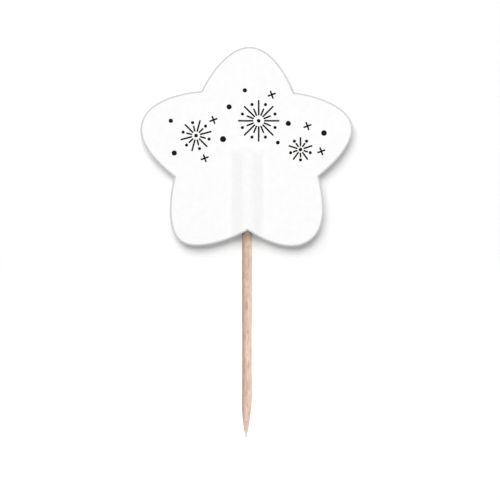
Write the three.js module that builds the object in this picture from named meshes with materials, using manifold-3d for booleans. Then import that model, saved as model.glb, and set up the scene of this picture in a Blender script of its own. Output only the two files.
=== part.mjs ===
// Cupcake pick: a wooden toothpick held between two star-shaped cards that are glued face to face.
// Lengths are in millimetres and +Z is up. The origin is the lower point of the stick, on its axis,
// and the front of the star faces -Y.

import * as THREE from 'three';
import { mergeVertices } from 'three/addons/utils/BufferGeometryUtils.js';
import Module from 'manifold-3d';

const wasm = await Module();
wasm.setup();

// The stick is a round toothpick, pointed below and cut square above.
const stickLength = 65;
const stickDiameter = 2.25;
const pointLength = 9.5;
const pointFlatDiameter = 0.2;
const endChamfer = 0.2;
const stickSides = 32;
const pointSteps = 10;

// The cards and their glue, from the middle of the pick outwards. The glue stops a little short
// of the cards' edge.
const glueThickness = 0.05;
const cardThickness = 0.25;
const layerGap = 0.01;
const stickGap = 0.02;
const glueInset = 0.3;

// The stick reaches this far up between the cards, from the notch that it leaves by.
const gripLength = 17.5;

// Each card is lifted over the stick in a low ridge: a bend over the stick, straight flanks,
// and a soft foot on either side. Past the end of the stick the ridge sinks back to the flat.
const ridgeBendRadius = 4.6;
const ridgeSlope = THREE.MathUtils.degToRad(22.5);
const ridgeFootBend = 0.5;
const ridgeFade = 2.4;
const bendSteps = 4;
const footSteps = 2;
const fadeSteps = 8;

// The star's lobes reach from its centre to their tips, and meet in notches. It was drawn by hand,
// so its five lobes are alike but not equal: each has its own small addition to both reaches, its
// own angles, in degrees anticlockwise from +X as seen from the front, and its own roundness, which
// is how far the curve of the tip reaches sideways. A lobe starts at its notch and comes round over
// its tip to the next lobe's notch. Its sides leave the notches leaning in towards its axis.
const tipReach = 25;
const notchReach = 17.6;
const sideReach = 4;
const sideLean = 22;
const upperLobe = { notchAngle: 53, notchAdd: 0.1, tipAngle: 88.5, tipAdd: -0.4, roundness: 5 };
const leftLobe = { notchAngle: 126, notchAdd: 0.3, tipAngle: 163, tipAdd: 0.4, roundness: 5.5 };
const lowerLeftLobe = { notchAngle: 197.5, notchAdd: 0, tipAngle: 232.5, tipAdd: 0.3, roundness: 4.4 };
const lowerRightLobe = { notchAngle: 270, notchAdd: 0, tipAngle: 306, tipAdd: -0.4, roundness: 5.6 };
const rightLobe = { notchAngle: 342.5, notchAdd: -0.4, tipAngle: 376.5, tipAdd: 0, roundness: 4.6 };
const lobes = [upperLobe, leftLobe, lowerLeftLobe, lowerRightLobe, rightLobe];
const stepsPerCurve = 16;

// Blanks and cutters are made this much larger than what they have to cover.
const cutMargin = 1;

// What follows from those sizes
const stickRadius = stickDiameter / 2;
const ridgeHeight = stickRadius + stickGap;
const lowerNotchReach = notchReach + lowerRightLobe.notchAdd;
const stickEnd = gripLength - lowerNotchReach;
const starCentre = stickLength - stickEnd;
const starReach = tipReach + Math.max(...lobes.map((lobe) => lobe.tipAdd));
const glueInner = layerGap / 2;
const cardInner = glueInner + glueThickness + layerGap;
const cardOuter = cardInner + cardThickness;

// A straight flank leaves the bend over the stick at bendEdge and would reach the flat at flankEnd.
const bendEdge = ridgeBendRadius * Math.sin(ridgeSlope);
const bendDrop = ridgeBendRadius * (1 - Math.cos(ridgeSlope));
const flankEnd = bendEdge + (ridgeHeight - bendDrop) / Math.tan(ridgeSlope);
const footStart = flankEnd - ridgeFootBend / 2;
const footEnd = flankEnd + ridgeFootBend / 2;

const card = new THREE.MeshStandardMaterial({ color: 0xf6f6f4, roughness: 0.55, metalness: 0 });
const glue = new THREE.MeshStandardMaterial({ color: 0xf1ecdd, roughness: 0.3, metalness: 0 });
const birch = new THREE.MeshStandardMaterial({ color: 0xe1bfac, roughness: 0.7, metalness: 0 });

// Height of the ridge at a distance from the stick's axis, across its full section.
function ridgeSection(distance) {
  if (distance >= footEnd) return 0;
  if (distance > footStart) return Math.tan(ridgeSlope) * (footEnd - distance) ** 2 / (2 * ridgeFootBend);
  if (distance > bendEdge) return Math.tan(ridgeSlope) * (flankEnd - distance);
  return ridgeHeight - ridgeBendRadius + Math.sqrt(ridgeBendRadius ** 2 - distance ** 2);
}

// How far a card stands off its flat place, at a point given from the star's centre.
function lift(x, z) {
  const pastEnd = THREE.MathUtils.smoothstep(z, stickEnd, stickEnd + ridgeFade);
  return (1 - pastEnd) * ridgeSection(Math.abs(x));
}

// Evenly spaced values from one end to the other, with both ends.
function spaced(from, to, steps) {
  return Array.from({ length: steps + 1 }, (_, i) => from + (to - from) * i / steps);
}

function polar(radius, angle) {
  const turn = THREE.MathUtils.degToRad(angle);
  return new THREE.Vector2(radius * Math.cos(turn), radius * Math.sin(turn));
}

// The star's outline, drawn smaller by an inset.
function starOutline(inset) {
  const outline = new THREE.Shape();
  const notch = (lobe) => polar(notchReach + lobe.notchAdd - inset, lobe.notchAngle);
  const start = notch(lobes[0]);
  outline.moveTo(start.x, start.y);
  lobes.forEach((lobe, i) => {
    const from = notch(lobe);
    const tip = polar(tipReach + lobe.tipAdd - inset, lobe.tipAngle);
    const to = notch(lobes[(i + 1) % lobes.length]);
    const up = from.clone().add(polar(sideReach, lobe.tipAngle + sideLean));
    const before = tip.clone().add(polar(lobe.roundness, lobe.tipAngle - 90));
    const after = tip.clone().add(polar(lobe.roundness, lobe.tipAngle + 90));
    const down = to.clone().add(polar(sideReach, lobe.tipAngle - sideLean));
    outline.bezierCurveTo(up.x, up.y, before.x, before.y, tip.x, tip.y);
    outline.bezierCurveTo(after.x, after.y, down.x, down.y, to.x, to.y);
  });
  return outline;
}

function toManifold(positions, index) {
  return new wasm.Manifold(new wasm.Mesh({
    numProp: 3,
    vertProperties: new Float32Array(positions),
    triVerts: new Uint32Array(index),
  }));
}

function toGeometry(solid) {
  const mesh = solid.getMesh();
  const geometry = new THREE.BufferGeometry();
  geometry.setAttribute('position', new THREE.BufferAttribute(mesh.vertProperties, 3));
  geometry.setIndex(new THREE.BufferAttribute(mesh.triVerts, 1));
  geometry.computeVertexNormals();
  return geometry;
}

// A slab larger than the star that follows the ridge. Its inner face starts at a distance from
// the middle plane, and side is -1 for the front of the pick and 1 for its rear.
function ridgedSlab(side, inner, thickness) {
  const edge = starReach + cutMargin;
  const half = [...spaced(0, bendEdge, bendSteps), ...spaced(footStart, footEnd, footSteps), edge];
  const xs = [...half.slice(1).reverse().map((x) => -x), ...half];
  const zs = [-edge, ...spaced(stickEnd, stickEnd + ridgeFade, fadeSteps), edge];
  const positions = [];
  for (const face of [inner, inner + thickness]) {
    for (const z of zs) {
      for (const x of xs) positions.push(x, side * (face + lift(x, z)), z);
    }
  }
  const at = (face, row, column) => (face * zs.length + row) * xs.length + column;
  const index = [];
  const quad = (a, b, c, d) => index.push(...(side > 0 ? [a, b, c, a, c, d] : [a, c, b, a, d, c]));
  const lastRow = zs.length - 1;
  const lastColumn = xs.length - 1;
  for (let r = 0; r < lastRow; r++) {
    for (let c = 0; c < lastColumn; c++) {
      quad(at(0, r, c), at(0, r, c + 1), at(0, r + 1, c + 1), at(0, r + 1, c));
      quad(at(1, r, c), at(1, r + 1, c), at(1, r + 1, c + 1), at(1, r, c + 1));
    }
  }
  for (let c = 0; c < lastColumn; c++) {
    quad(at(0, 0, c), at(1, 0, c), at(1, 0, c + 1), at(0, 0, c + 1));
    quad(at(0, lastRow, c), at(0, lastRow, c + 1), at(1, lastRow, c + 1), at(1, lastRow, c));
  }
  for (let r = 0; r < lastRow; r++) {
    quad(at(0, r, 0), at(0, r + 1, 0), at(1, r + 1, 0), at(1, r, 0));
    quad(at(0, r, lastColumn), at(1, r, lastColumn), at(1, r + 1, lastColumn), at(0, r + 1, lastColumn));
  }
  return toManifold(positions, index);
}

// A straight-sided cutter of the star's outline, deep enough for every layer.
function starCutter(inset) {
  const depth = 2 * (cardOuter + ridgeHeight + cutMargin);
  const prism = new THREE.ExtrudeGeometry(starOutline(inset), {
    depth,
    bevelEnabled: false,
    curveSegments: stepsPerCurve,
  });
  prism.translate(0, 0, -depth / 2);
  prism.rotateX(Math.PI / 2);
  prism.deleteAttribute('normal');
  prism.deleteAttribute('uv');
  const merged = mergeVertices(prism);
  return toManifold(merged.attributes.position.array, merged.index.array);
}

function starLayer(side, inner, thickness, inset) {
  return toGeometry(ridgedSlab(side, inner, thickness).intersect(starCutter(inset)));
}

// The point is sharpened in a full curve and ends in a small flat.
function stickGeometry() {
  const flat = pointFlatDiameter / 2;
  const profile = [new THREE.Vector2(0, 0)];
  for (const z of spaced(0, pointLength, pointSteps)) {
    const left = 1 - z / pointLength;
    profile.push(new THREE.Vector2(flat + (stickRadius - flat) * (1 - left ** 2), z));
  }
  profile.push(new THREE.Vector2(stickRadius, stickLength - endChamfer));
  profile.push(new THREE.Vector2(stickRadius - endChamfer, stickLength));
  profile.push(new THREE.Vector2(0, stickLength));
  return new THREE.LatheGeometry(profile, stickSides).rotateX(Math.PI / 2);
}

function named(name, geometry, material) {
  const mesh = new THREE.Mesh(geometry, material);
  mesh.name = name;
  return mesh;
}

const star = new THREE.Group();
star.position.z = starCentre;
star.add(
  named('front_card', starLayer(-1, cardInner, cardThickness, 0), card),
  named('front_adhesive', starLayer(-1, glueInner, glueThickness, glueInset), glue),
  named('rear_adhesive', starLayer(1, glueInner, glueThickness, glueInset), glue),
  named('rear_card', starLayer(1, cardInner, cardThickness, 0), card),
);

const pick = new THREE.Group();
pick.add(named('toothpick', stickGeometry(), birch), star);

export default pick;
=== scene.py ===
# %% [markdown]
# # A cupcake pick
# A cupcake pick is a small decoration: a wooden toothpick with a paper star on top. Two star
# cards are pressed together face to face with the toothpick between them, and a coat of glue on
# each holds all three. The parts model already holds the true sizes and stands still as a frame.
# This script gives every part the surface that a camera would see.

# %% Load the frame
import math

import bpy
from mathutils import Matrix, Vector, noise


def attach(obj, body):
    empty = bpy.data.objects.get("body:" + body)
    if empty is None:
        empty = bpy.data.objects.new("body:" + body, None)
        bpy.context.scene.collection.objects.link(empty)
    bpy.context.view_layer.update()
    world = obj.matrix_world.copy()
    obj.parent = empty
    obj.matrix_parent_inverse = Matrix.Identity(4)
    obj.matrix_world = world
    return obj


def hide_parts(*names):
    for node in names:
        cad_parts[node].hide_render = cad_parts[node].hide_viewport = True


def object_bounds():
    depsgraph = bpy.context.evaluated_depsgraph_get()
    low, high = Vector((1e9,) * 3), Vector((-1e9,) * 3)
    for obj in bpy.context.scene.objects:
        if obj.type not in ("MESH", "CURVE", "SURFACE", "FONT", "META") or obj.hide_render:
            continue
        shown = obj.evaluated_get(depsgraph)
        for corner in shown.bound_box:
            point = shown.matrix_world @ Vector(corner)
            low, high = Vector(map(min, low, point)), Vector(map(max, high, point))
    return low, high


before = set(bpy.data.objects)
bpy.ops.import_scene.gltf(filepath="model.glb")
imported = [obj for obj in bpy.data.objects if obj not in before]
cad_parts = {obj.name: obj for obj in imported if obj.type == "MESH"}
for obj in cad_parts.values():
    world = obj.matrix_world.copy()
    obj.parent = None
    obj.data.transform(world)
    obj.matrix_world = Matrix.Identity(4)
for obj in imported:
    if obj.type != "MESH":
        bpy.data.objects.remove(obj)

MM = 0.001
cad_box = [list(corner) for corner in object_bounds()]
print("parts in the frame:", sorted(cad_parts))
print("frame size in mm:", [round((b - a) / MM, 2) for a, b in zip(*cad_box)])

# %% [markdown]
# ## The outline of the star
# The star was drawn by hand and cut out with a die. Its five lobes are round, and they meet in
# sharp notches. The outline could be traced point by point, but it needs only two values for each
# notch and each tip: how far it lies from the centre, and at which angle. A Bezier curve joins
# each notch to the next tip. It leaves the notch leaning in, and crosses the tip square to the
# lobe's axis, so the lobe comes out round without any more points.

# %% Measures of the star
STICK_LENGTH = 65 * MM
GRIP_LENGTH = 17.5 * MM
TIP_REACH = 25 * MM
NOTCH_REACH = 17.6 * MM
SIDE_REACH = 4 * MM
SIDE_LEAN = math.radians(22)

# For each lobe: notch angle, notch addition, tip angle, tip addition and roundness,
# in degrees and millimetres.
LOBES = [
    (53, 0.1, 88.5, -0.4, 5),
    (126, 0.3, 163, 0.4, 5.5),
    (197.5, 0, 232.5, 0.3, 4.4),
    (270, 0, 306, -0.4, 5.6),
    (342.5, -0.4, 376.5, 0, 4.6),
]
LOWER_NOTCH = 3

# Height of the stick's upper end above the star's centre, and of that centre above the point
stick_end = GRIP_LENGTH - (NOTCH_REACH + LOBES[LOWER_NOTCH][1] * MM)
star_height = STICK_LENGTH - stick_end
print(f"the star's centre lies {star_height / MM:.1f} mm above the point")


# %% Curves of a lobe
def polar(reach, angle):
    return Vector((reach * math.cos(angle), reach * math.sin(angle)))


def bezier(points, t):
    """The place on a cubic curve at t, and the direction that it runs in."""
    a, b, c, d = points
    u = 1 - t
    place = u**3 * a + 3 * u * u * t * b + 3 * u * t * t * c + t**3 * d
    direction = u * u * (b - a) + 2 * u * t * (c - b) + t * t * (d - c)
    return place, direction.normalized()


def lobe_curves(index):
    """The curve that climbs from a lobe's notch to its tip, and the one that comes down again."""
    notch_angle, notch_add, tip_angle, tip_add, roundness = LOBES[index]
    next_angle, next_add = LOBES[(index + 1) % len(LOBES)][:2]
    axis = math.radians(tip_angle)
    across = math.radians(90)
    notch = polar(NOTCH_REACH + notch_add * MM, math.radians(notch_angle))
    tip = polar(TIP_REACH + tip_add * MM, axis)
    end = polar(NOTCH_REACH + next_add * MM, math.radians(next_angle))
    before = tip + polar(roundness * MM, axis - across)
    after = tip + polar(roundness * MM, axis + across)
    climb = (notch, notch + polar(SIDE_REACH, axis + SIDE_LEAN), before, tip)
    fall = (tip, after, end + polar(SIDE_REACH, axis - SIDE_LEAN), end)
    return climb, fall


tips = [lobe_curves(index)[0][-1] for index in range(len(LOBES))]
print("the tips lie", [round(tip.length / MM, 1) for tip in tips], "mm from the centre")

# %% Rays to the edge
STEPS_PER_CURVE = 48
MOST_SLANT = 2.5


def star_rays():
    """Rays from the star's centre to its edge: direction, length and slant.

    The slant says how obliquely a ray meets the edge: a step of one millimetre square to the
    edge is a step of that many millimetres along the ray.
    """
    rays = []
    for index in range(len(LOBES)):
        for curve in lobe_curves(index):
            for step in range(STEPS_PER_CURVE):
                place, direction = bezier(curve, step / STEPS_PER_CURVE)
                ray = place.normalized()
                outward = Vector((direction.y, -direction.x))
                rays.append((ray, place.length, 1 / max(outward.dot(ray), 1 / MOST_SLANT)))
    return rays


RAYS = star_rays()
edge_x = [ray.x * reach for ray, reach, slant in RAYS]
edge_z = [ray.y * reach for ray, reach, slant in RAYS]
print(f"star: {len(RAYS)} rays, {(max(edge_x) - min(edge_x)) / MM:.1f} mm wide, "
      f"{(max(edge_z) - min(edge_z)) / MM:.1f} mm high")

# %% [markdown]
# ## The ridge over the stick
# The cards can't lie flat where the stick is. Each bends over it, comes down on either side as a
# straight flank, and meets the flat in a soft foot. Past the end of the stick the ridge sinks
# away. One function says how high a card stands off its flat place, and everything that lies on a
# card uses it: the glue below, the card itself and the print on top. So all layers bend as one.
# Their meshes have different rows, though, so where the ridge sinks away a glue coat and its card
# still cross by some hundredths of a millimetre, out of sight between them. A real card is never
# quite flat either, and a second function bows the whole star a little, less than the thickness
# of the card, and not at all where the stick holds it straight.

# %% Ridge
STICK_RADIUS = 2.25 / 2 * MM
RIDGE_HEIGHT = STICK_RADIUS + 0.02 * MM
RIDGE_BEND_RADIUS = 4.6 * MM
RIDGE_SLOPE = math.radians(22.5)
RIDGE_FOOT_BEND = 0.5 * MM
RIDGE_FADE = 2.4 * MM

bend_edge = RIDGE_BEND_RADIUS * math.sin(RIDGE_SLOPE)
bend_drop = RIDGE_BEND_RADIUS * (1 - math.cos(RIDGE_SLOPE))
flank_end = bend_edge + (RIDGE_HEIGHT - bend_drop) / math.tan(RIDGE_SLOPE)
foot_start = flank_end - RIDGE_FOOT_BEND / 2
foot_end = flank_end + RIDGE_FOOT_BEND / 2


def smooth_step(value, low, high):
    share = min(max((value - low) / (high - low), 0), 1)
    return share * share * (3 - 2 * share)


def ridge_section(distance):
    """Height of the full ridge at a distance from the stick's axis."""
    if distance >= foot_end:
        return 0
    if distance > foot_start:
        return math.tan(RIDGE_SLOPE) * (foot_end - distance) ** 2 / (2 * RIDGE_FOOT_BEND)
    if distance > bend_edge:
        return math.tan(RIDGE_SLOPE) * (flank_end - distance)
    return RIDGE_HEIGHT - RIDGE_BEND_RADIUS + math.sqrt(RIDGE_BEND_RADIUS**2 - distance**2)


def lift(x, z):
    """How far a card stands off its flat place, at a point given from the star's centre."""
    return (1 - smooth_step(z, stick_end, stick_end + RIDGE_FADE)) * ridge_section(abs(x))


print(f"ridge: {RIDGE_HEIGHT / MM:.2f} mm high and {2 * foot_end / MM:.1f} mm wide")

# %% Bow
BOW = 0.1 * MM
BOW_START = 4 * MM
BOW_WAVE = 2.4
BOW_PHASE = 0.9
TIP_BOW = 0.8


def bow(x, z):
    """How far the whole star leans back or forward at a point: one slow wave round its rim."""
    out = smooth_step(abs(x), BOW_START, TIP_REACH)
    up = smooth_step(z, stick_end + RIDGE_FADE, TIP_REACH)
    wave = math.sin(BOW_WAVE * z / TIP_REACH + math.copysign(BOW_PHASE, x))
    return BOW * (out * wave - TIP_BOW * up)


def on_card(side, depth, x, z):
    """A point of a layer, at a depth from the middle plane. Side is -1 in front and 1 behind."""
    return (x, side * (depth + lift(x, z)) + bow(x, z), star_height + z)


bows = [bow(x, z) for x, z in zip(edge_x, edge_z)]
print(f"bow: the edge lies {min(bows) / MM:.2f} to {max(bows) / MM:.2f} mm off its plane")

# %% [markdown]
# ## One mesh for every layer
# A layer is a thin closed sheet of the star's outline: outer face, rolled rim, cut wall and inner
# face. A die-cut card has such a rim, because the blade drags the top of the card down before it
# parts it. Extruding a flat outline would leave a hard box edge and too few points to bend over
# the ridge. So the sheet is lofted: each row of its profile is one turn round the star, and
# neighbouring rows are joined by quads. The rows lie close at the rim, where the shape is, and
# evenly over the faces, so that the ridge is smooth.

# %% A smooth mesh object
def smooth_mesh(name, points, faces, materials, faces_of_second=()):
    """A smooth-shaded mesh object. Faces listed in faces_of_second take its second material."""
    mesh = bpy.data.meshes.new(name)
    mesh.from_pydata(points, [], faces)
    for material in materials:
        mesh.materials.append(material)
    for face in faces_of_second:
        mesh.polygons[face].material_index = 1
    mesh.polygons.foreach_set("use_smooth", [True] * len(mesh.polygons))
    mesh.update()
    piece = bpy.data.objects.new(name, mesh)
    bpy.context.scene.collection.objects.link(piece)
    return piece


# %% Profile of a sheet
OUTER_ROWS = 56
INNER_ROWS = 36
RIM_ROWS = 5
WALL_ROWS = 3


def sheet_profile(inner, thickness, edge_inset, rim_width, rim_drop):
    """Rows from the middle of the outer face round to the middle of the inner one.

    Each is (share of the way out to the rim, inset from the edge, depth, whether it is cut edge).
    """
    outer = inner + thickness
    rim_start = edge_inset + rim_width
    rows = [(row / OUTER_ROWS, rim_start, outer, False) for row in range(1, OUTER_ROWS + 1)]
    for row in range(1, RIM_ROWS + 1):
        out = row / RIM_ROWS
        drop = rim_drop * (1 - math.sqrt(1 - out * out))
        rows.append((1, edge_inset + rim_width * (1 - out), outer - drop, True))
    for row in range(1, WALL_ROWS + 1):
        down = row / WALL_ROWS
        rows.append((1, edge_inset, outer - rim_drop - down * (thickness - rim_drop), True))
    for row in range(INNER_ROWS, 0, -1):
        rows.append((row / INNER_ROWS, edge_inset + rim_drop, inner, False))
    return rows


print("each sheet has", OUTER_ROWS + RIM_ROWS + WALL_ROWS + INNER_ROWS, "rows of", len(RAYS), "points")


# %% Loft a sheet
def star_sheet(name, side, profile, materials):
    """A closed sheet of the star on one side of the pick. Its cut edge takes the second material."""
    points = [on_card(side, profile[0][2], 0, 0)]
    for share, inset, depth, cut in profile:
        for ray, reach, slant in RAYS:
            place = ray * (share * (reach - inset * slant))
            points.append(on_card(side, depth, place.x, place.y))
    points.append(on_card(side, profile[-1][2], 0, 0))
    around = len(RAYS)
    last = len(points) - 1
    faces = []
    cut_faces = []
    for ray in range(around):
        beside = (ray + 1) % around
        faces.append((0, 1 + ray, 1 + beside))
        for row in range(len(profile) - 1):
            here = 1 + row * around
            below = here + around
            if profile[row + 1][3] and len(materials) > 1:
                cut_faces.append(len(faces))
            faces.append((here + ray, below + ray, below + beside, here + beside))
        end = 1 + (len(profile) - 1) * around
        faces.append((last, end + beside, end + ray))
    if side > 0:
        faces = [face[::-1] for face in faces]
    return smooth_mesh(name, points, faces, materials, cut_faces)


# %% [markdown]
# ## Paper, seen close
# White card looks flat and even from a step away, but it is a felt of wood fibres under a thin
# coating. Close up it has faint clouds a millimetre or so wide, and a fine tooth from the fibres.
# Both are noise textures, laid out in real lengths so that they keep their scale. The clouds turn
# into a slight change of white, and the tooth into a bump of a few thousandths of a millimetre.

# %% Start a material
def blank_material(name):
    """A new material, with its node tree, its shader node and the object's own coordinates."""
    material = bpy.data.materials.new(name)
    material.use_nodes = True
    tree = material.node_tree
    shader = tree.nodes["Principled BSDF"]
    place = tree.nodes.new("ShaderNodeTexCoord").outputs["Object"]
    return material, tree, shader, place


# %% Noise and colour
# The values of a noise crowd round a half: nearly all of it lies in the first range, and the
# main part of it in the second.
MOST_NOISE = (0.3, 0.7)
MID_NOISE = (0.35, 0.65)


def grain(tree, place, sizes, detail=3):
    """Noise whose spots have these sizes in metres along X, Y and Z."""
    scaled = tree.nodes.new("ShaderNodeMapping")
    scaled.inputs["Scale"].default_value = [1 / size for size in sizes]
    texture = tree.nodes.new("ShaderNodeTexNoise")
    texture.inputs["Scale"].default_value = 1
    texture.inputs["Detail"].default_value = detail
    tree.links.new(place, scaled.inputs["Vector"])
    tree.links.new(scaled.outputs["Vector"], texture.inputs["Vector"])
    return texture.outputs["Fac"]


def ramp(tree, value, stops):
    """Turns a value into a colour. Stops are (value, colour)."""
    node = tree.nodes.new("ShaderNodeValToRGB")
    for extra in range(len(stops) - 2):
        node.color_ramp.elements.new(0.5)
    for element, (position, colour) in zip(node.color_ramp.elements, stops):
        element.position = position
        element.color = (*colour, 1)
    tree.links.new(value, node.inputs["Fac"])
    return node.outputs["Color"]


def two_tones(tree, noise_value, span, low_colour, high_colour):
    """Turns a noise into a colour that goes from one to another over a span of its values."""
    return ramp(tree, noise_value, [(span[0], low_colour), (span[1], high_colour)])


def between(tree, value, low, high, to_low, to_high):
    """Maps a value from one range to another, and stops at its ends."""
    node = tree.nodes.new("ShaderNodeMapRange")
    for key, number in (("From Min", low), ("From Max", high), ("To Min", to_low), ("To Max", to_high)):
        node.inputs[key].default_value = number
    tree.links.new(value, node.inputs["Value"])
    return node.outputs["Result"]


print("a noise changes the look where its value is from", MOST_NOISE[0], "to", MOST_NOISE[1])


# %% Relief
def bump(tree, shader, *layers):
    """Adds layers of relief to a shader. Each is (height value, depth in metres)."""
    under = None
    for height, depth in layers:
        node = tree.nodes.new("ShaderNodeBump")
        node.inputs["Distance"].default_value = depth
        tree.links.new(height, node.inputs["Height"])
        if under:
            tree.links.new(under, node.inputs["Normal"])
        under = node.outputs["Normal"]
    tree.links.new(under, shader.inputs["Normal"])


# %% White card
CLOUD_SIZE = 1.4 * MM
FIBRE_LENGTH = 0.9 * MM
FIBRE_WIDTH = 0.06 * MM
FIBRE_DEPTH = 0.003 * MM
TOOTH_SIZE = 0.16 * MM
TOOTH_DEPTH = 0.004 * MM
CARD_ROUGHNESS = (0.46, 0.6)
CARD_SHINE = 0.35
WHITE_LOW = (0.91, 0.91, 0.907)
WHITE_HIGH = (0.93, 0.93, 0.928)


def white_card(name):
    material, tree, shader, place = blank_material(name)
    clouds = grain(tree, place, [CLOUD_SIZE] * 3)
    tooth = grain(tree, place, [TOOTH_SIZE] * 3)
    level_fibres = grain(tree, place, (FIBRE_LENGTH, FIBRE_WIDTH, FIBRE_WIDTH))
    upright_fibres = grain(tree, place, (FIBRE_WIDTH, FIBRE_WIDTH, FIBRE_LENGTH))
    tree.links.new(two_tones(tree, clouds, MID_NOISE, WHITE_LOW, WHITE_HIGH), shader.inputs["Base Color"])
    tree.links.new(between(tree, tooth, *MOST_NOISE, *CARD_ROUGHNESS), shader.inputs["Roughness"])
    shader.inputs["Specular IOR Level"].default_value = CARD_SHINE
    bump(tree, shader, (tooth, TOOTH_DEPTH), (level_fibres, FIBRE_DEPTH), (upright_fibres, FIBRE_DEPTH))
    return material


card_white = white_card("white_card")
print("card clouds", CLOUD_SIZE / MM, "mm, fibres", FIBRE_LENGTH / MM, "by", FIBRE_WIDTH / MM, "mm")

# %% [markdown]
# ## The cut edge
# Where the blade went through, the coating ends and the bare core of the card shows. It is a
# little greyer than the face, and rougher, and its grey is set darker still as painted shade.
# From the front it is seen as a fine grey line round the white star, which is all that sets the
# star off from a white background.

# %% Cut edge of the card
# Grey of the bare core, darkened further as painted shade so that the edge reads as a grey line
CORE_GREY_AND_SHADE_LOW = (0.60, 0.60, 0.60)
CORE_GREY_AND_SHADE_HIGH = (0.72, 0.72, 0.72)
CORE_SIZES = (0.3 * MM, 0.05 * MM, 0.3 * MM)
CORE_DEPTH = 0.008 * MM
FUZZ_SIZE = 0.05 * MM
FUZZ_DEPTH = 0.006 * MM
EDGE_ROUGHNESS = 0.85
EDGE_SHINE = 0.2


def cut_edge():
    material, tree, shader, place = blank_material("cut_edge")
    core = grain(tree, place, CORE_SIZES)
    fuzz = grain(tree, place, [FUZZ_SIZE] * 3)
    tree.links.new(two_tones(tree, core, MID_NOISE, CORE_GREY_AND_SHADE_LOW, CORE_GREY_AND_SHADE_HIGH), shader.inputs["Base Color"])
    shader.inputs["Roughness"].default_value = EDGE_ROUGHNESS
    shader.inputs["Specular IOR Level"].default_value = EDGE_SHINE
    bump(tree, shader, (core, CORE_DEPTH), (fuzz, FUZZ_DEPTH))
    return material


card_edge = cut_edge()
print("cut edge: grey from", CORE_GREY_AND_SHADE_LOW[0], "to", CORE_GREY_AND_SHADE_HIGH[0], "of white")

# %% Make the two cards
CARD_THICKNESS = 0.25 * MM
GLUE_THICKNESS = 0.05 * MM
LAYER_GAP = 0.01 * MM
RIM_WIDTH = 0.38 * MM
RIM_DROP = 0.08 * MM

glue_inner = LAYER_GAP / 2
card_inner = glue_inner + GLUE_THICKNESS + LAYER_GAP
card_outer = card_inner + CARD_THICKNESS

card_profile = sheet_profile(card_inner, CARD_THICKNESS, 0, RIM_WIDTH, RIM_DROP)
printed_star = star_sheet("printed_star_card", -1, card_profile, [card_white, card_edge])
plain_star = star_sheet("plain_star_card", 1, card_profile, [card_white, card_edge])
for star, node in ((printed_star, "front_card"), (plain_star, "rear_card")):
    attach(star, "root")
    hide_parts(node)
    print(star.name, len(star.data.polygons), "faces")

# %% [markdown]
# ## The glue between them
# Such stars are cut from self-adhesive card. Its glue is a thin milky coat that stops a hair short
# of the edge, so between the two cards runs a fine dark groove with glue at the bottom of it. The
# coat shows only there and in the two small tunnels beside the stick. A slight gloss is what tells
# glue from paper.

# %% Milky glue
GLUE_LOW = (0.78, 0.74, 0.62)
GLUE_HIGH = (0.86, 0.83, 0.73)
SMEAR_SIZES = (0.9 * MM, 0.3 * MM, 0.5 * MM)
SMEAR_DEPTH = 0.01 * MM
GLUE_ROUGHNESS = 0.3
GLUE_GLOSS = 0.25


def milky_glue():
    material, tree, shader, place = blank_material("milky_glue")
    smears = grain(tree, place, SMEAR_SIZES)
    tree.links.new(two_tones(tree, smears, MOST_NOISE, GLUE_LOW, GLUE_HIGH), shader.inputs["Base Color"])
    shader.inputs["Roughness"].default_value = GLUE_ROUGHNESS
    shader.inputs["Coat Weight"].default_value = GLUE_GLOSS
    bump(tree, shader, (smears, SMEAR_DEPTH))
    return material


glue = milky_glue()
print("glue smears", [round(size / MM, 1) for size in SMEAR_SIZES], "mm")

# %% Make the two coats
GLUE_INSET = 0.3 * MM
GLUE_RIM_WIDTH = 0.02 * MM
GLUE_RIM_DROP = 0.01 * MM

glue_profile = sheet_profile(glue_inner, GLUE_THICKNESS, GLUE_INSET, GLUE_RIM_WIDTH, GLUE_RIM_DROP)
COATS = (("front_glue_coat", -1, "front_adhesive"), ("rear_glue_coat", 1, "rear_adhesive"))
for name, side, node in COATS:
    coat = star_sheet(name, side, glue_profile, [glue])
    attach(coat, "root")
    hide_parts(node)
    print(name, len(coat.data.polygons), "faces")

# %% [markdown]
# ## The toothpick
# A toothpick is turned from birch. The grain runs along it, and the tool leaves it not quite round
# and not quite straight. A cylinder with a bump would look right only from afar, because its
# outline stays a ruled line. So the rings of the mesh itself carry the shape: shallow grooves
# between the fibres, a slight oval, and a point that was sharpened a little off centre and ends
# in a tiny ragged flat. The noise is a fixed function of the place, so each run gives the same stick.

# %% Turned shape of the stick
POINT_LENGTH = 9.5 * MM
POINT_FLAT = 0.1 * MM
POINT_LEAN = 0.17 * MM
LEAN_RISE = 6 * MM
SIDE_SHIFT = 0.11 * MM
END_CHAMFER = 0.2 * MM


def turned_radius(z):
    """Radius of the stick before its grain is added: a full curve to the point, then straight."""
    if z < POINT_LENGTH:
        return POINT_FLAT + (STICK_RADIUS - POINT_FLAT) * (1 - (1 - z / POINT_LENGTH) ** 2)
    return min(STICK_RADIUS, STICK_RADIUS - END_CHAMFER + (STICK_LENGTH - z))


def axis_shift(z):
    """How far the stick's axis lies to the left of the star's: a little, and more at the point."""
    return SIDE_SHIFT + POINT_LEAN * smooth_step(POINT_LENGTH - z, 0, LEAN_RISE)


print(f"the point lies {axis_shift(0) / MM:.2f} mm to the left")

# %% Grain in the shape
COARSE_GROOVE = 0.022 * MM
COARSE_AROUND = 3.4
COARSE_LENGTH = 9 * MM
COARSE_MIDDLE = 0.4
FINE_GROOVE = 0.01 * MM
FINE_AROUND = 9
FINE_LENGTH = 3 * MM
OVAL = 0.01 * MM
RAGGED = 0.05 * MM


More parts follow.
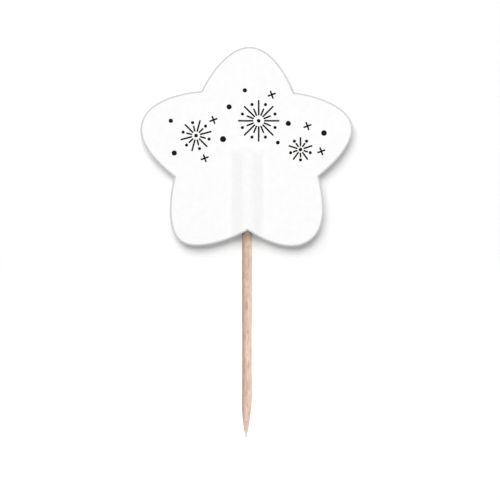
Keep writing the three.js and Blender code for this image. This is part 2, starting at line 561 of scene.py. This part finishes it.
def grain_depth(angle, z):
    """How far the surface lies below the turned radius, from fibres and from an oval section."""
    around = Vector((math.cos(angle), math.sin(angle), 0))
    coarse = noise.noise(around * COARSE_AROUND + Vector((0, 0, z / COARSE_LENGTH)))
    fine = noise.noise(around * FINE_AROUND + Vector((5, 0, z / FINE_LENGTH)))
    oval = OVAL * math.sin(angle) ** 2
    return oval + COARSE_GROOVE * (abs(coarse) - COARSE_MIDDLE) + FINE_GROOVE * fine


def stick_point(angle, z):
    share = turned_radius(z) / STICK_RADIUS
    radius = turned_radius(z) - grain_depth(angle, z) * share
    fray = noise.noise(Vector((2 * math.cos(angle), 2 * math.sin(angle), 7))) if z == 0 else 0
    return (radius * math.cos(angle) - axis_shift(z), radius * math.sin(angle), z + RAGGED * abs(fray))


depths = [grain_depth(math.radians(turn), STICK_LENGTH / 2) for turn in range(360)]
print(f"half way up, the grain changes the radius by {(max(depths) - min(depths)) / MM:.3f} mm")

# %% Rings and faces of the stick
STICK_SIDES = 96
RING_SPACING = 0.25 * MM
TIP_DIP = 0.02 * MM
NEAR_POINT = [0, 0.04, 0.1, 0.2, 0.32, 0.46, 0.62, 0.8]


def stick_rings():
    """Heights of the rings: closer together in the lowest millimetre, then evenly spaced."""
    heights = [height * MM for height in NEAR_POINT]
    even_length = STICK_LENGTH - END_CHAMFER - MM
    steps = round(even_length / RING_SPACING)
    heights += [MM + even_length * step / steps for step in range(steps + 1)]
    return heights + [STICK_LENGTH]


def toothpick_mesh():
    heights = stick_rings()
    points = [(-axis_shift(0), 0, TIP_DIP)]
    for z in heights:
        points += [stick_point(math.tau * side / STICK_SIDES, z) for side in range(STICK_SIDES)]
    points.append((-axis_shift(STICK_LENGTH), 0, STICK_LENGTH))
    faces = []
    last = len(points) - 1
    for side in range(STICK_SIDES):
        beside = (side + 1) % STICK_SIDES
        faces.append((0, 1 + beside, 1 + side))
        for ring in range(len(heights) - 1):
            here = 1 + ring * STICK_SIDES
            above = here + STICK_SIDES
            faces.append((here + side, here + beside, above + beside, above + side))
        end = 1 + (len(heights) - 1) * STICK_SIDES
        faces.append((end + side, end + beside, last))
    return points, faces


stick_points, stick_faces = toothpick_mesh()
print("toothpick:", len(stick_rings()), "rings of", STICK_SIDES, "points,", len(stick_faces), "faces")

# %% [markdown]
# ## Birch
# Birch is pale, with streaks a shade darker or lighter, a finer fibre pattern inside them, and
# short brown flecks. A picture of wood wrapped round the stick would give all that, but it would
# stretch or repeat. Here noises in real lengths lie over one another, each drawn out along the
# stick: streaks and fibres, darker patches that grow stronger towards the star, rosy and straw
# tints, flecks, and two brown spots on the front. Over the wood lie painted light and shade:
# painted shade darkens the left side and painted light brightens the right, the sharpened end
# is made pale with painted light, its very tip is grey with dust and lifted with painted light,
# and just under the star a painted shadow of the star darkens the wood.

# %% Helpers for layers of colour
def number_ramp(tree, value, stops):
    """Turns a value into a number. Stops are (value, number)."""
    return ramp(tree, value, [(position, [number] * 3) for position, number in stops])


def blend_colours(tree, share, first, second):
    """Mixes two colours or colour sockets by a share, which is a number or a socket."""
    node = tree.nodes.new("ShaderNodeMix")
    node.data_type = "RGBA"
    sockets = {"Factor": node.inputs[0], "A": node.inputs[6], "B": node.inputs[7]}
    for key, value in (("Factor", share), ("A", first), ("B", second)):
        if isinstance(value, bpy.types.NodeSocket):
            tree.links.new(value, sockets[key])
        else:
            sockets[key].default_value = value if key == "Factor" else (*value, 1)
    return node.outputs[2]


def math_node(tree, operation, first, second):
    """One sum between two values, each a number or a socket."""
    node = tree.nodes.new("ShaderNodeMath")
    node.operation = operation
    for socket, value in zip(node.inputs, (first, second)):
        if isinstance(value, bpy.types.NodeSocket):
            tree.links.new(value, socket)
        else:
            socket.default_value = value
    return node.outputs[0]


# %% Colours of the birch
BIRCH_DARK = (0.66, 0.43, 0.32)
BIRCH_MID = (0.95, 0.64, 0.48)
BIRCH_LIGHT = (0.99, 0.75, 0.59)
ROSY = (0.92, 0.55, 0.46)
STRAW = (0.72, 0.56, 0.40)
FLECK = (0.36, 0.21, 0.14)
BROWN = (0.58, 0.35, 0.26)
# Painted shade: the left side of the stick is darkened in its colour, towards the way below
PAINTED_SHADE = (0.54, 0.40, 0.35)
PAINTED_SHADE_WAY = (-0.95, -0.31, 0)
# Painted light on the right side of the stick
PAINTED_LIGHT = (0.98, 0.85, 0.74)
REDDISH = (0.74, 0.47, 0.34)
# Painted light on the sharpened point, which faces down
PAINTED_POINT_LIGHT = (1.0, 0.86, 0.77)
# Grey of dust at the very tip, made lighter as painted light on the down-facing point
DUST_AND_PAINTED_LIGHT = (0.79, 0.78, 0.77)
# Painted shadow of the star on the stick, just under the notch
PAINTED_STAR_SHADOW = (0.26, 0.18, 0.14)
print("birch: from", BIRCH_DARK, "to", BIRCH_LIGHT)

# %% Where the birch changes
# Heights above the point between which each change along the stick takes place
PATCHES_GROW = (12 * MM, 40 * MM)
REDDENS = (28 * MM, 40 * MM)
# dust and painted light at the tip
DUST_AND_PAINTED_LIGHT_SPAN = (0, 5 * MM)
# painted shadow of the star under the notch
PAINTED_STAR_SHADOW_SPAN = (STICK_LENGTH - GRIP_LENGTH - 4.5 * MM, STICK_LENGTH - GRIP_LENGTH)

# Brown spots on the front: place across the stick, height, half width and half length
SPOTS = [
    (-0.16 * MM, 30.4 * MM, 0.42 * MM, 1.5 * MM),
    (0.32 * MM, 39.8 * MM, 0.4 * MM, 2.4 * MM),
]
SPOT_DEPTH = 0.8 * MM
SPOT_CORE = 0.35


def spot_share(tree, place, spot):
    """One in the middle of a spot, falling to nought at its edge."""
    across, height, half_width, half_length = spot
    middle = (across, -STICK_RADIUS, height)
    sizes = (half_width, SPOT_DEPTH, half_length)
    scaled = tree.nodes.new("ShaderNodeMapping")
    scaled.inputs["Scale"].default_value = [1 / size for size in sizes]
    scaled.inputs["Location"].default_value = [-centre / size for centre, size in zip(middle, sizes)]
    away = tree.nodes.new("ShaderNodeVectorMath")
    away.operation = "LENGTH"
    tree.links.new(place, scaled.inputs["Vector"])
    tree.links.new(scaled.outputs["Vector"], away.inputs[0])
    return between(tree, away.outputs["Value"], SPOT_CORE, 1, 1, 0)


print("brown spots at heights of", [round(spot[1] / MM, 1) for spot in SPOTS], "mm")

# %% Sizes of the birch grain
# Sizes of the spots across the stick, from front to back, and along it
STREAK_SIZES = (0.42 * MM, 0.42 * MM, 5 * MM)
STREAK_DEPTH = 0.02 * MM
FINE_FIBRE_SIZES = (0.09 * MM, 0.09 * MM, 2.4 * MM)
FINE_FIBRE_DEPTH = 0.012 * MM
FINE_FIBRE_SHARE = 0.3
PATCH_SIZES = (0.6 * MM, 0.6 * MM, 1.7 * MM)
TINT_SIZES = (0.8 * MM, 0.8 * MM, 2.6 * MM)
FLECK_SIZES = (0.13 * MM, 0.13 * MM, 0.7 * MM)
print("streaks are", STREAK_SIZES[2] / MM, "mm long and flecks", FLECK_SIZES[2] / MM, "mm")


# %% Layers of colour that follow the grain
# Noise value from and to, and the share of the layer's colour at each of them
DARK_PATCHES = (0.46, 0.62, 0, 1)
ROSY_TINTS = (0.5, 0.66, 0, 0.6)
STRAW_TINTS = (0.3, 0.46, 0.25, 0)
BROWN_FLECKS = (0.73, 0.79, 0, 0.35)
BLOTCHED_SPOTS = (0.3, 0.6, 0.6, 0.95)
PATCH_GAIN = (-0.03, 0.05)


def grain_layers(tree, place, height, fibres):
    """Patches, tints, flecks and spots as (share, colour), in the order that they lie in."""
    patches = grain(tree, place, PATCH_SIZES, detail=1)
    patches = math_node(tree, "ADD", patches, between(tree, height, *PATCHES_GROW, *PATCH_GAIN))
    tints = grain(tree, place, TINT_SIZES, detail=1)
    flecks = grain(tree, place, FLECK_SIZES, detail=0)
    layers = [
        (between(tree, patches, *DARK_PATCHES), BIRCH_DARK),
        (between(tree, tints, *ROSY_TINTS), ROSY),
        (between(tree, tints, *STRAW_TINTS), STRAW),
        (between(tree, flecks, *BROWN_FLECKS), FLECK),
    ]
    blotched = between(tree, fibres, *BLOTCHED_SPOTS)
    for spot in SPOTS:
        layers.append((math_node(tree, "MULTIPLY", spot_share(tree, place, spot), blotched), BROWN))
    return layers


print("dark patches show where their noise is over", DARK_PATCHES[0])

# %% Layers of painted light and shade for the sides and ends
# Share of the layer's colour at some places on the way: out to the right side, up the point,
# up to where the dust and painted light of the tip end, and up to the notch
# Painted light on the right side of the stick
PAINTED_LIGHT_SIDE = [(0.15, 0), (0.63, 0.68), (1, 0.45)]
PAINTED_LIGHT_FIBRES = (0.75, 1.15)
# Painted light on the sharpened point
PAINTED_POINT_LIGHT_STOPS = [(0.15, 0), (0.3, 0.2), (0.85, 0)]
# Dust and painted light at the tip
DUST_AND_PAINTED_LIGHT_TIP = [(0.17, 0.95), (0.27, 0.4), (0.5, 0)]
# Painted shadow of the star under the notch
PAINTED_STAR_SHADOW_STOPS = [(0, 0), (0.45, 0.36), (0.8, 0.9)]
# Painted shade on the left side of the stick
PAINTED_SHADE_FROM = 0.2 * STICK_RADIUS
PAINTED_SHADE_SHARE = 0.68
REDDISH_SHARE = 0.12


def place_layers(tree, place, across, height, fibres):
    """Painted shade on the left side and painted light on the right, the two ends (painted light on the
    point, grey dust with painted light at the tip) and the painted shadow of the star under the notch, and
    the way up between them, as (share, colour).
    """
    to_the_left = tree.nodes.new("ShaderNodeVectorMath")
    to_the_left.operation = "DOT_PRODUCT"
    to_the_left.inputs[1].default_value = PAINTED_SHADE_WAY
    tree.links.new(place, to_the_left.inputs[0])
    leftness = to_the_left.outputs["Value"]
    lit_side_share = number_ramp(tree, between(tree, across, 0, STICK_RADIUS, 0, 1), PAINTED_LIGHT_SIDE)
    lit_side_fibres = between(tree, fibres, *MOST_NOISE, *PAINTED_LIGHT_FIBRES)
    up_the_point = between(tree, height, 0, POINT_LENGTH, 0, 1)
    up_the_grey_tip = between(tree, height, *DUST_AND_PAINTED_LIGHT_SPAN, 0, 1)
    up_to_the_notch = between(tree, height, *PAINTED_STAR_SHADOW_SPAN, 0, 1)
    return [
        # painted shade on the left side
        (between(tree, leftness, PAINTED_SHADE_FROM, STICK_RADIUS, 0, PAINTED_SHADE_SHARE), PAINTED_SHADE),
        # painted light on the right side
        (math_node(tree, "MULTIPLY", lit_side_share, lit_side_fibres), PAINTED_LIGHT),
        (between(tree, height, *REDDENS, 0, REDDISH_SHARE), REDDISH),
        # painted light on the point
        (number_ramp(tree, up_the_point, PAINTED_POINT_LIGHT_STOPS), PAINTED_POINT_LIGHT),
        # dust and painted light at the tip
        (number_ramp(tree, up_the_grey_tip, DUST_AND_PAINTED_LIGHT_TIP), DUST_AND_PAINTED_LIGHT),
        # painted shadow of the star under the notch
        (number_ramp(tree, up_to_the_notch, PAINTED_STAR_SHADOW_STOPS), PAINTED_STAR_SHADOW),
    ]


# The heights printed below bound the painted shadow of the star on the stick
print("the wood takes up glue from", round(PAINTED_STAR_SHADOW_SPAN[0] / MM, 1), "to", round(PAINTED_STAR_SHADOW_SPAN[1] / MM, 1), "mm up")

# %% Birch material
STREAK_COLOURS = [(0.34, BIRCH_DARK), (0.5, BIRCH_MID), (0.66, BIRCH_LIGHT)]
BIRCH_ROUGHNESS = (0.58, 0.78)
BIRCH_SHINE = 0.3


def birch():
    material, tree, shader, place = blank_material("birch_wood")
    split = tree.nodes.new("ShaderNodeSeparateXYZ")
    tree.links.new(place, split.inputs["Vector"])
    across, height = split.outputs["X"], split.outputs["Z"]
    streaks = grain(tree, place, STREAK_SIZES, detail=4)
    fibres = grain(tree, place, FINE_FIBRE_SIZES)
    wood = ramp(tree, streaks, STREAK_COLOURS)
    fine = two_tones(tree, fibres, MOST_NOISE, BIRCH_DARK, BIRCH_LIGHT)
    wood = blend_colours(tree, FINE_FIBRE_SHARE, wood, fine)
    layers = grain_layers(tree, place, height, fibres)
    layers += place_layers(tree, place, across, height, fibres)
    for share, colour in layers:
        wood = blend_colours(tree, share, wood, colour)
    tree.links.new(wood, shader.inputs["Base Color"])
    tree.links.new(between(tree, fibres, *MOST_NOISE, *BIRCH_ROUGHNESS), shader.inputs["Roughness"])
    shader.inputs["Specular IOR Level"].default_value = BIRCH_SHINE
    bump(tree, shader, (streaks, STREAK_DEPTH), (fibres, FINE_FIBRE_DEPTH))
    return material


birch_wood = birch()
print("birch:", len(birch_wood.node_tree.nodes), "nodes")

# %% Make the toothpick
toothpick = smooth_mesh("birch_toothpick", stick_points, stick_faces, [birch_wood])
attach(toothpick, "root")
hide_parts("toothpick")
print("toothpick:", round(toothpick.dimensions.z / MM, 2), "mm long")

# %% [markdown]
# ## The print
# The front card carries a small design in near-black ink: three bursts of short strokes, like
# fireworks, with a scatter of dots and crosses round them. The design could be a texture, but its
# edges would blur close up. Here each stroke is a film of ink of its own, a hundredth of a
# millimetre thick, laid on the card with the same lift and bow as the card. A stroke with both
# ends in one place is a dot, so one function draws everything.

# %% One stroke of ink
INK_PROUD = 0.012 * MM
INK_SUNK = 0.01 * MM
STROKE = 0.39 * MM
CAP_ROWS = 5
ROW_SPACING = 0.35 * MM
LEAST_SPREAD = 0.004 * MM

ink_points = []
ink_faces = []


def stroke_rows(length, half):
    """Rows across a stroke with round ends, as (distance from its start, half its width there)."""
    cap = [math.radians(90) * row / CAP_ROWS for row in range(CAP_ROWS)]
    rows = [(-half * math.cos(turn), half * math.sin(turn)) for turn in cap]
    if length > 0:
        steps = max(1, round(length / ROW_SPACING))
        rows += [(length * step / steps, half) for step in range(steps + 1)]
    else:
        rows.append((0, half))
    rows += [(length + half * math.cos(turn), half * math.sin(turn)) for turn in reversed(cap)]
    return rows


def ink_stroke(start, end, width):
    """A film of ink with round ends, from start to end. Both are points from the star's centre."""
    start, end = Vector(start), Vector(end)
    length = (end - start).length
    along = (end - start).normalized() if length > 0 else Vector((1, 0))
    across = Vector((-along.y, along.x))
    rows = stroke_rows(length, width / 2)
    first = len(ink_points)
    for depth in (card_outer + INK_PROUD, card_outer - INK_SUNK):
        for distance, spread in rows:
            for side in (-1, 0, 1):
                place = start + along * distance + across * side * max(spread, LEAST_SPREAD)
                ink_points.append(on_card(-1, depth, place.x, place.y))
    under = 3 * len(rows)
    for row in range(len(rows) - 1):
        here = first + 3 * row
        for a, b in ((here, here + 1), (here + 1, here + 2)):
            ink_faces.append((a, a + 3, b + 3, b))
            ink_faces.append((under + b, under + b + 3, under + a + 3, under + a))
        ink_faces.append((here, under + here, under + here + 3, here + 3))
        ink_faces.append((here + 5, under + here + 5, under + here + 2, here + 2))
    for here, there in ((first, first + 1), (first + 1, first + 2)):
        ink_faces.append((here, there, under + there, under + here))
        end_here, end_there = here + under - 3, there + under - 3
        ink_faces.append((end_there, end_here, under + end_here, under + end_there))


print("a film of ink stands", INK_PROUD / MM, "mm proud of the card")

# %% Bursts, crosses and dots
HEART = 2.2 * STROKE
SPARK = 1.9 * STROKE
SHORT_REACH = 0.62
SPARK_REACH = 0.88
CROSS_SIZE = 1.6
CROSS_TURN = 20


def burst(centre, rays, inner, outer, turn):
    """A firework: long strokes, with shorter ones between them that end in a dot."""
    centre = Vector(centre) * MM
    ink_stroke(centre, centre, HEART)
    for ray in range(rays):
        angle = math.radians(turn) + math.tau * ray / rays
        if ray % 2:
            end = centre + polar(SHORT_REACH * outer * MM, angle)
            spark = centre + polar(SPARK_REACH * outer * MM, angle)
            ink_stroke(spark, spark, SPARK)
        else:
            end = centre + polar(outer * MM, angle)
        ink_stroke(centre + polar(inner * MM, angle), end, STROKE)


def cross(centre):
    centre = Vector(centre) * MM
    for turn in (CROSS_TURN, CROSS_TURN + 90):
        arm = polar(CROSS_SIZE / 2 * MM, math.radians(turn))
        ink_stroke(centre - arm, centre + arm, STROKE)


def dot(centre, size):
    centre = Vector(centre) * MM
    ink_stroke(centre, centre, size * MM)


# %% Lay out the print
burst((2.6, 7.6), rays=16, inner=1.4, outer=4.6, turn=90)
burst((-11.8, 4.2), rays=12, inner=1.1, outer=3.5, turn=75)
burst((12.2, 1.0), rays=10, inner=0.9, outer=2.7, turn=90)
for place, size in (((-4.2, 10.8), 1.2), ((-17.6, 7.6), 1.0), ((9.4, 7.0), 1.2), ((-5.6, 3.4), 1.4),
                    ((17.6, 4.8), 1.3), ((-16.8, 0.2), 1.2), ((-0.6, 14.6), 1.0), ((7.0, 2.6), 0.9)):
    dot(place, size)
for place in ((-7.8, 7.8), (13.8, 6.4), (5.6, 13.6), (-9.8, -1.0), (17.0, 0.6)):
    cross(place)
print("print:", len(ink_faces), "faces of ink")

# %% [markdown]
# ## Ink
# Printed black is never quite black. It lies on the tooth of the paper, so it shines a little
# unevenly, and its grey drifts from stroke to stroke.

# %% Ink material
INK_LOW = (0.004, 0.002, 0.002)
INK_HIGH = (0.010, 0.006, 0.006)
DRIFT_SIZE = 0.5 * MM
INK_ROUGHNESS = (0.4, 0.6)
INK_SHINE = 0.05


def black_ink():
    material, tree, shader, place = blank_material("black_ink")
    drift = grain(tree, place, [DRIFT_SIZE] * 3)
    tooth = grain(tree, place, [TOOTH_SIZE] * 3)
    tree.links.new(two_tones(tree, drift, MOST_NOISE, INK_LOW, INK_HIGH), shader.inputs["Base Color"])
    tree.links.new(between(tree, tooth, *MOST_NOISE, *INK_ROUGHNESS), shader.inputs["Roughness"])
    shader.inputs["Specular IOR Level"].default_value = INK_SHINE
    bump(tree, shader, (tooth, TOOTH_DEPTH))
    return material


ink = black_ink()
print("the ink's grey drifts over", DRIFT_SIZE / MM, "mm")

# %% Make the print
firework_print = smooth_mesh("firework_print", ink_points, ink_faces, [ink])
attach(firework_print, "root")
print("print:", [round(size / MM, 1) for size in firework_print.dimensions], "mm")

# %% [markdown]
# ## Floor and backdrop
# The pick stands on its point on a pale floor. A small pale wall stands right behind the star
# and catches its soft shadow, as a sheet of paper behind a product does. The wall is there only
# for a camera in front of it: it is clear from behind, and it throws no light or shadow on the
# pick, so all other views are free. Its lower end fades out, because the stick needs no wall.
# Both glow a little to the camera, which makes them white. A white floor without the glow would
# also do, but it would throw so much light up at the star that no lamp could shape it. The
# floor's glow grows with the distance, until it melts into the white room.

# %% Helpers for the stage
def plane(name, corners, material):
    mesh = bpy.data.meshes.new(name)
    mesh.from_pydata(corners, [], [(0, 1, 2, 3)])
    mesh.materials.append(material)
    piece = bpy.data.objects.new(name, mesh)
    bpy.context.scene.collection.objects.link(piece)
    return piece


def seen_or_mirrored(tree):
    """One for rays from the camera and for rays that gloss or glass sends on, else nought."""
    path = tree.nodes.new("ShaderNodeLightPath").outputs
    mirrored = math_node(tree, "MAXIMUM", path["Is Glossy Ray"], path["Is Transmission Ray"])
    return math_node(tree, "MAXIMUM", path["Is Camera Ray"], mirrored)


def stage_paint(name, grey):
    """Matt paint for the stage, without its glow yet: material, tree, paint and output nodes."""
    material = bpy.data.materials.new(name)
    material.use_nodes = True
    tree = material.node_tree
    tree.nodes.clear()
    paint = tree.nodes.new("ShaderNodeBsdfDiffuse")
    paint.inputs["Color"].default_value = (grey, grey, grey, 1)
    return material, tree, paint, tree.nodes.new("ShaderNodeOutputMaterial")


def add_glow(tree, paint, glow):
    """Adds a glow to a paint, for the camera and in reflections only."""
    light = tree.nodes.new("ShaderNodeEmission")
    tree.links.new(math_node(tree, "MULTIPLY", seen_or_mirrored(tree), glow), light.inputs["Strength"])
    both = tree.nodes.new("ShaderNodeAddShader")
    tree.links.new(paint.outputs[0], both.inputs[0])
    tree.links.new(light.outputs[0], both.inputs[1])
    return both.outputs[0]


# %% Floor
FLOOR_SIZE = 6.0
FLOOR_PAINT = 0.5
FLOOR_GLOW_NEAR = 0.68
FLOOR_GLOW_FAR = 1.0
FLOOR_GLOW_RANGE = (0.1, 0.4)


def floor_paint():
    material, tree, paint, output = stage_paint("floor_pale", FLOOR_PAINT)
    place = tree.nodes.new("ShaderNodeNewGeometry").outputs["Position"]
    away = tree.nodes.new("ShaderNodeVectorMath")
    away.operation = "LENGTH"
    tree.links.new(place, away.inputs[0])
    glow = between(tree, away.outputs["Value"], *FLOOR_GLOW_RANGE, FLOOR_GLOW_NEAR, FLOOR_GLOW_FAR)
    tree.links.new(add_glow(tree, paint, glow), output.inputs["Surface"])
    return material


floor_half = FLOOR_SIZE / 2
floor_corners = [(-floor_half, -floor_half, 0), (floor_half, -floor_half, 0),
                 (floor_half, floor_half, 0), (-floor_half, floor_half, 0)]
plane("floor", floor_corners, floor_paint())
print("floor", FLOOR_SIZE, "m wide")

# %% Wall
WALL_GAP = 0.05 * MM
WALL_HALF_WIDTH = 60 * MM
WALL_TOP = 150 * MM
WALL_FADE_LOW = star_height - 25.2 * MM
WALL_FADE_HIGH = star_height - 23.4 * MM
WALL_PAINT = 0.45
WALL_GLOW = 0.16


def wall_paint():
    """The wall's paint, clear from behind and fading out at its lower end."""
    material, tree, paint, output = stage_paint("wall_pale", WALL_PAINT)
    geometry = tree.nodes.new("ShaderNodeNewGeometry")
    split = tree.nodes.new("ShaderNodeSeparateXYZ")
    tree.links.new(geometry.outputs["Position"], split.inputs["Vector"])
    faded = between(tree, split.outputs["Z"], WALL_FADE_LOW, WALL_FADE_HIGH, 1, 0)
    choose = tree.nodes.new("ShaderNodeMixShader")
    clear = math_node(tree, "MAXIMUM", geometry.outputs["Backfacing"], faded)
    tree.links.new(clear, choose.inputs["Fac"])
    tree.links.new(add_glow(tree, paint, WALL_GLOW), choose.inputs[1])
    tree.links.new(tree.nodes.new("ShaderNodeBsdfTransparent").outputs[0], choose.inputs[2])
    tree.links.new(choose.outputs[0], output.inputs["Surface"])
    return material


wall_y = cad_box[1][1] + WALL_GAP
wall_corners = [(-WALL_HALF_WIDTH, wall_y, WALL_FADE_LOW), (WALL_HALF_WIDTH, wall_y, WALL_FADE_LOW),
                (WALL_HALF_WIDTH, wall_y, WALL_TOP), (-WALL_HALF_WIDTH, wall_y, WALL_TOP)]
wall = plane("wall", wall_corners, wall_paint())
for ray in ("diffuse", "glossy", "transmission", "shadow", "volume_scatter"):
    setattr(wall, f"visible_{ray}", False)
print("wall", round(wall_y / MM, 2), "mm behind the middle of the pick")

# %% [markdown]
# ## Light
# The light is that of a small studio. A large soft box stands two metres in front, a little to
# the left and fairly low, and gives most of it. Being so far away, it lights the whole star
# evenly. A small box on the right fills in that side of the stick, one behind it on the right
# brightens its edge, and a wide one straight behind lights the back of the pick. The wall has a
# lamp of its own, as a studio has for its background. It stands high on the left, lights nothing
# else, and only the cards shade it, so the star's shadow falls down and to the right, and the
# wall can be white without more light on the star. Each lamp is given as the share of full white
# that it adds to a card that faces it. Its power in watts follows from adding up what the patches
# of its surface send to the star. With what the floor throws back, the shares that reach the
# front of the star make about one, so nothing burns out.

# %% A soft box of a known strength
LAMP_PATCHES = 9


def share_per_watt(centre, right, up, aim, target, normal):
    """How white one watt from a rectangular lamp makes a white card at the target."""
    total = 0
    for column in range(LAMP_PATCHES):
        for row in range(LAMP_PATCHES):
            sideways = (2 * column + 1) / LAMP_PATCHES - 1
            upward = (2 * row + 1) / LAMP_PATCHES - 1
            patch = centre + right * sideways + up * upward
            toward = (patch - target).normalized()
            total += max(0, toward.dot(normal)) * -toward.dot(aim) / (patch - target).length_squared
    return total / LAMP_PATCHES**2 / math.pi**2


def soft_box(name, bearing, elevation, distance, width, height, share):
    """A soft box aimed at the star. Bearing is degrees to the right of straight ahead."""
    target = Vector((0, 0, star_height))
    turn, rise = math.radians(bearing), math.radians(elevation)
    toward = Vector((math.sin(turn) * math.cos(rise), -math.cos(turn) * math.cos(rise), math.sin(rise)))
    lamp = bpy.data.lights.new(name, "AREA")
    lamp.shape = "RECTANGLE"
    lamp.size = width
    lamp.size_y = height
    box = bpy.data.objects.new(name, lamp)
    box.location = target + toward * distance
    box.rotation_mode = "QUATERNION"
    box.rotation_quaternion = (-toward).to_track_quat("-Z", "Y")
    right = box.rotation_quaternion @ Vector((width / 2, 0, 0))
    up = box.rotation_quaternion @ Vector((0, height / 2, 0))
    face = Vector((0, math.copysign(1, toward.y), 0))
    lamp.energy = share / share_per_watt(box.location, right, up, -toward, target, face)
    box.visible_camera = False
    bpy.context.scene.collection.objects.link(box)
    print(f"{name}: {lamp.energy:.2f} W gives {share:.2f} of white")
    return box


# %% The lamps
key_lamp = soft_box("key_box", bearing=-6, elevation=20, distance=2, width=2, height=1.44, share=0.65)
side_lamp = soft_box("side_box", bearing=36, elevation=8, distance=0.5, width=0.3, height=0.4, share=0.11)
soft_box("rim_box", bearing=113, elevation=6, distance=0.5, width=0.3, height=0.5, share=0.065)
soft_box("back_box", bearing=180, elevation=30, distance=0.5, width=0.8, height=0.6, share=0.58)
wall_lamp = soft_box("wall_box", bearing=-16, elevation=39, distance=2, width=2.2, height=1.65, share=1.63)


# %% What each lamp lights
def group_of(name, objects):
    group = bpy.data.collections.new(name)
    for member in objects:
        group.objects.link(member)
    return group


all_but_wall = group_of("all_but_the_wall", [wall])
all_but_wall.collection_objects[0].light_linking.link_state = "EXCLUDE"
for lamp in (key_lamp, side_lamp):
    lamp.light_linking.receiver_collection = all_but_wall
wall_lamp.light_linking.receiver_collection = group_of("lit_by_wall_box", [wall])
wall_lamp.light_linking.blocker_collection = group_of("shades_wall_box", [printed_star, plain_star])
print("the wall is lit by", wall_lamp.name, "alone")

# %% World
AMBIENT = 0.18


def studio_world():
    """A white room to the camera and to reflections, and a dim one to everything else."""
    world = bpy.data.worlds.new("studio")
    world.use_nodes = True
    tree = world.node_tree
    tree.nodes.clear()
    dim = tree.nodes.new("ShaderNodeBackground")
    dim.inputs["Strength"].default_value = AMBIENT
    white = tree.nodes.new("ShaderNodeBackground")
    white.inputs["Strength"].default_value = 1
    for sky in (dim, white):
        sky.inputs["Color"].default_value = (1, 1, 1, 1)
    choose = tree.nodes.new("ShaderNodeMixShader")
    output = tree.nodes.new("ShaderNodeOutputWorld")
    tree.links.new(seen_or_mirrored(tree), choose.inputs["Fac"])
    tree.links.new(dim.outputs[0], choose.inputs[1])
    tree.links.new(white.outputs[0], choose.inputs[2])
    tree.links.new(choose.outputs[0], output.inputs["Surface"])
    return world


bpy.context.scene.world = studio_world()
bpy.context.scene.view_settings.view_transform = "Standard"
print("ambient light:", AMBIENT, "of white")

# %% [markdown]
# ## Camera
# The photograph looks straight at the front from far away, with hardly any perspective. A long
# lens gives that. Its distance follows from how much of the real world the picture is wide, and
# its place from where the stick's point and the star's centre lie in the picture.

# %% Camera
PICTURE_SIZE = 500
PIXEL = 0.23 * MM
POINT_ROW = 437
STAR_COLUMN = 247.4
LENS = 120
SENSOR = 36

camera_data = bpy.data.cameras.new("camera")
camera_data.lens = LENS
camera_data.sensor_width = SENSOR
camera_data.clip_start = 0.01
camera_data.clip_end = 20
camera = bpy.data.objects.new("camera", camera_data)
distance = PICTURE_SIZE * PIXEL * LENS / SENSOR
middle = PICTURE_SIZE / 2
camera.location = ((middle - STAR_COLUMN) * PIXEL, -distance, (POINT_ROW - middle) * PIXEL)
camera.rotation_euler = (math.radians(90), 0, 0)
bpy.context.scene.collection.objects.link(camera)
bpy.context.scene.camera = camera
print(f"camera {distance / MM:.0f} mm away, {camera.location.z / MM:.1f} mm up")

# %% [markdown]
# ## Measure and finish
# The dressed pick has to fit the frame's box, whose corners are printed here.

# %% Sizes
print("frame box mm:", [[round(v / MM, 2) for v in corner] for corner in cad_box])
